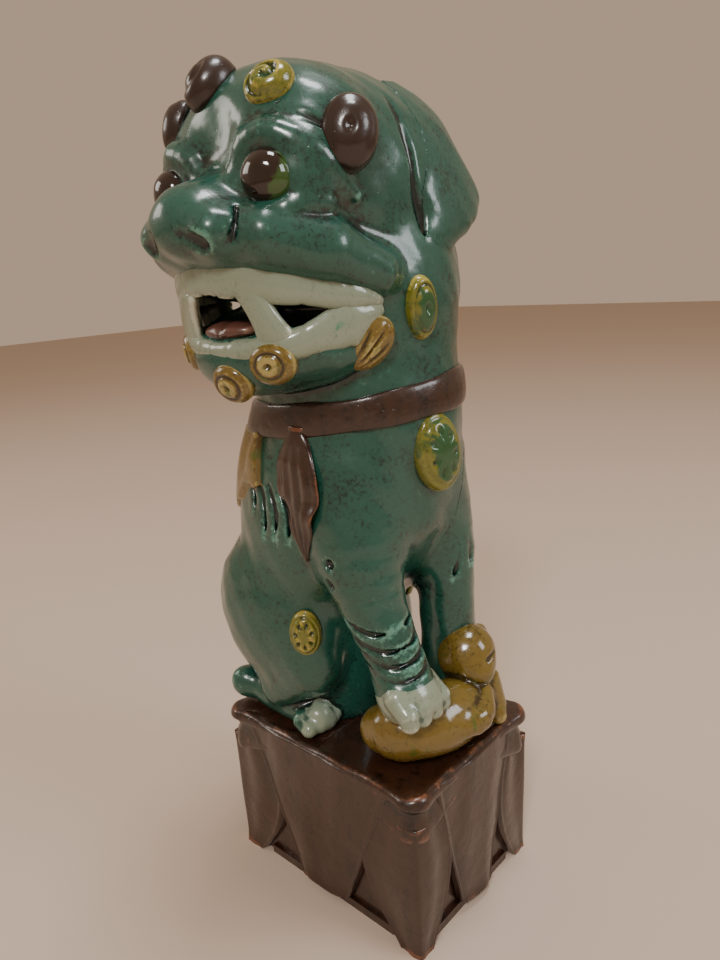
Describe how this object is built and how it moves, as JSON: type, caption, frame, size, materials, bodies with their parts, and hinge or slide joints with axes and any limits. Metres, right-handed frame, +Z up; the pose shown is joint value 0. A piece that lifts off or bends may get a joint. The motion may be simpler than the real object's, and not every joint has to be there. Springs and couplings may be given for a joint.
{
  "type": "guardian lion statue",
  "caption": "Glazed ceramic seated guardian lion holding her cub, head turned aside, on a cloth-draped hollow rectangular plinth.",
  "frame": {"origin": "middle of the outer box on the surface it stands on", "axes": "+Z up, +X the way the body and plinth face, -Y the way the head is turned"},
  "size_m": [0.0964, 0.0918, 0.2511],
  "materials": {
    "green_glaze": "glossy translucent copper-green lead glaze, pooling dark in hollows and thin on ridges",
    "brown_glaze": "glossy manganese-brown glaze with coppery thin edges",
    "amber_glaze": "glossy amber-yellow iron glaze",
    "olive_glaze": "amber glaze run together with green, mottled",
    "cream_glaze": "clear glaze over pale body, faintly greened",
    "dark_glaze": "very dark brown glossy glaze",
    "plum_glaze": "thin pinkish-brown glaze"
  },
  "bodies": {
    "root": {"plinth_wall_front": "brown_glaze", "plinth_wall_left": "brown_glaze", "plinth_wall_back": "brown_glaze", "plinth_wall_right": "brown_glaze", "cloth_flap_front": "brown_glaze", "cloth_flap_left": "brown_glaze", "cloth_flap_back": "brown_glaze", "cloth_flap_right": "brown_glaze", "plinth_slab": "brown_glaze", "corner_cloth_front_left": "brown_glaze", "corner_cloth_left_back": "brown_glaze", "corner_cloth_back_right": "brown_glaze", "corner_cloth_right_front": "brown_glaze", "torso": "green_glaze", "right_haunch": "green_glaze", "right_hind_paw": "green_glaze", "left_haunch": "green_glaze", "left_hind_paw": "green_glaze", "right_foreleg": "green_glaze", "left_foreleg": "green_glaze", "right_fore_paw": "cream_glaze", "left_fore_paw": "green_glaze", "cub_body": "amber_glaze", "cub_head": "amber_glaze", "cub_foreleg": "amber_glaze", "cub_hind_leg": "amber_glaze", "head": "green_glaze", "lower_jaw": "green_glaze", "upper_lip": "cream_glaze", "lower_lip": "cream_glaze", "nose": "green_glaze", "tongue": "plum_glaze", "left_fang": "cream_glaze", "left_eye": "dark_glaze", "left_brow": "green_glaze", "left_ear": "green_glaze", "right_fang": "cream_glaze", "right_eye": "dark_glaze", "right_brow": "green_glaze", "right_ear": "green_glaze", "left_temple_curl": "brown_glaze", "left_forehead_curl": "olive_glaze", "right_forehead_curl": "brown_glaze", "right_temple_curl": "brown_glaze", "crown_curl": "olive_glaze", "left_cheek_curl": "olive_glaze", "right_cheek_curl": "olive_glaze", "left_jaw_curl": "amber_glaze", "right_jaw_curl": "amber_glaze", "left_chin_curl": "amber_glaze", "middle_chin_curl": "amber_glaze", "right_chin_curl": "amber_glaze", "collar": "brown_glaze", "chest_bell": "olive_glaze", "right_tassel": "brown_glaze", "right_knee_curl": "olive_glaze", "left_tassel": "brown_glaze", "left_knee_curl": "olive_glaze", "tail": "brown_glaze", "back_mane": "amber_glaze"}
  },
  "joints": []
}
